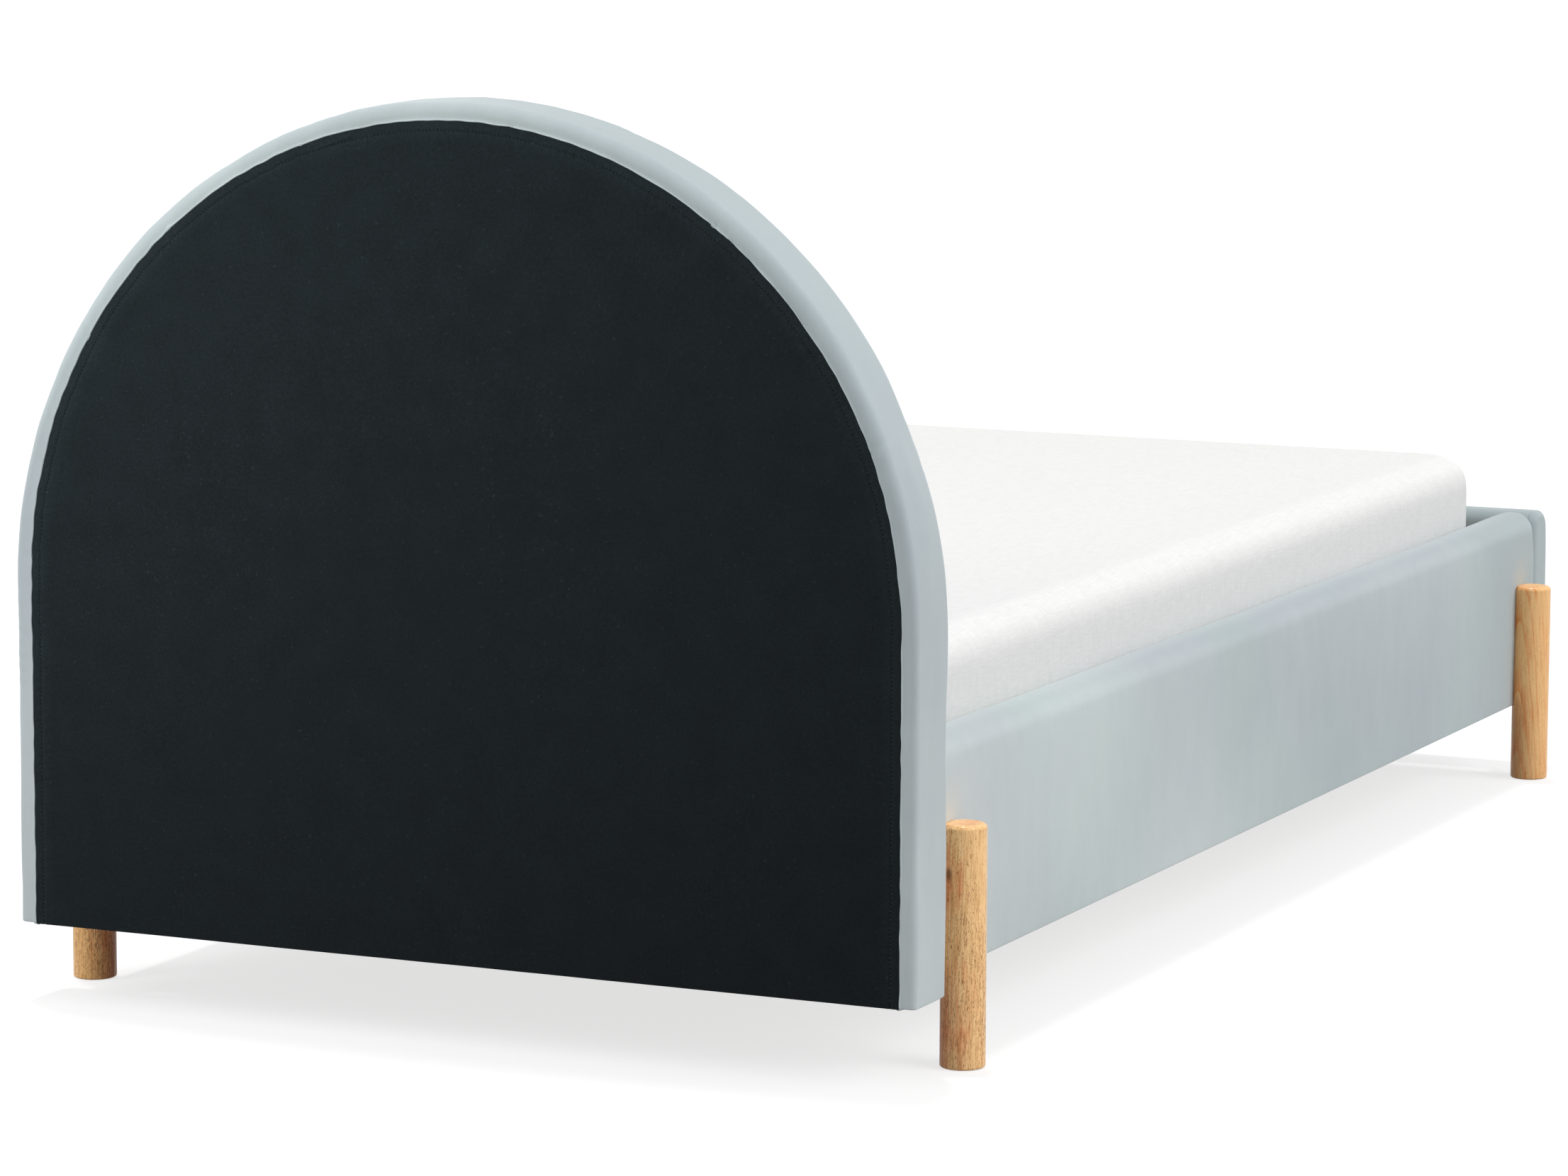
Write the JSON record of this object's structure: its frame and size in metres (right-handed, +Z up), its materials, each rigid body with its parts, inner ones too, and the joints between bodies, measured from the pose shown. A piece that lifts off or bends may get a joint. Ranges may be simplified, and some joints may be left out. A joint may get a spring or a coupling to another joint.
{
  "type": "upholstered kids bed",
  "caption": "Single kids bed with an arched padded headboard, padded side rails and footboard, round wooden legs bolted outside the rails, a lift-out slatted base and a mattress.",
  "frame": {"origin": "on the floor, under the middle of the bed's overall box", "axes": "+Z up, +Y along the bed towards the headboard's back, +X across the bed"},
  "size_m": [1.093, 2.184, 0.9919],
  "materials": {
    "velvet": "matte",
    "back_cloth": "matte",
    "ticking": "matte",
    "foam": "matte",
    "webbing": "matte",
    "leg_wood": "satin",
    "slat_wood": "matte",
    "frame_wood": "matte",
    "plywood": "matte",
    "bracket_steel": "satin",
    "zinc_steel": "satin",
    "glide_plastic": "matte"
  },
  "bodies": {
    "frame": {"corner_bolts": "zinc_steel", "foot_left_corner_bracket": "bracket_steel", "foot_left_glide": "glide_plastic", "foot_left_leg": "leg_wood", "foot_right_corner_bracket": "bracket_steel", "foot_right_glide": "glide_plastic", "foot_right_leg": "leg_wood", "footboard_board": "frame_wood", "footboard_cover": "velvet", "footboard_foam": "foam", "head_left_corner_bracket": "bracket_steel", "head_left_glide": "glide_plastic", "head_left_leg": "leg_wood", "head_right_corner_bracket": "bracket_steel", "head_right_glide": "glide_plastic", "head_right_leg": "leg_wood", "headboard_arch_rib_1": "plywood", "headboard_arch_rib_2": "plywood", "headboard_arch_rib_3": "plywood", "headboard_arch_rib_4": "plywood", "headboard_back_cloth": "back_cloth", "headboard_bottom_board": "frame_wood", "headboard_centre_stile": "frame_wood", "headboard_cover": "velvet", "headboard_foam": "foam", "headboard_front_board": "plywood", "headboard_left_post": "frame_wood", "headboard_middle_board": "frame_wood", "headboard_right_post": "frame_wood", "ledge_screws": "zinc_steel", "left_rail_board": "frame_wood", "left_rail_cover": "velvet", "left_rail_foam": "foam", "left_slat_ledge": "slat_wood", "leg_inserts": "zinc_steel", "panel_inserts": "zinc_steel", "right_rail_board": "frame_wood", "right_rail_cover": "velvet", "right_rail_foam": "foam", "right_slat_ledge": "slat_wood"},
    "slatted_base": {"left_slat_webbing": "webbing", "right_slat_webbing": "webbing", "slat_01": "slat_wood", "slat_02": "slat_wood", "slat_03": "slat_wood", "slat_04": "slat_wood", "slat_05": "slat_wood", "slat_06": "slat_wood", "slat_07": "slat_wood", "slat_08": "slat_wood", "slat_09": "slat_wood", "slat_10": "slat_wood", "slat_11": "slat_wood", "slat_12": "slat_wood", "slat_13": "slat_wood", "slat_14": "slat_wood", "webbing_screws": "zinc_steel"},
    "mattress": {"mattress_cover": "ticking", "mattress_core": "foam"}
  },
  "joints": [
    {"name": "slatted_base_lift", "type": "slide", "parent": "frame", "child": "slatted_base", "axis": [0, 0, 1], "range_m": [0, 0.15]},
    {"name": "mattress_lift", "type": "slide", "parent": "slatted_base", "child": "mattress", "axis": [0, 0, 1], "range_m": [0, 0.25]}
  ]
}
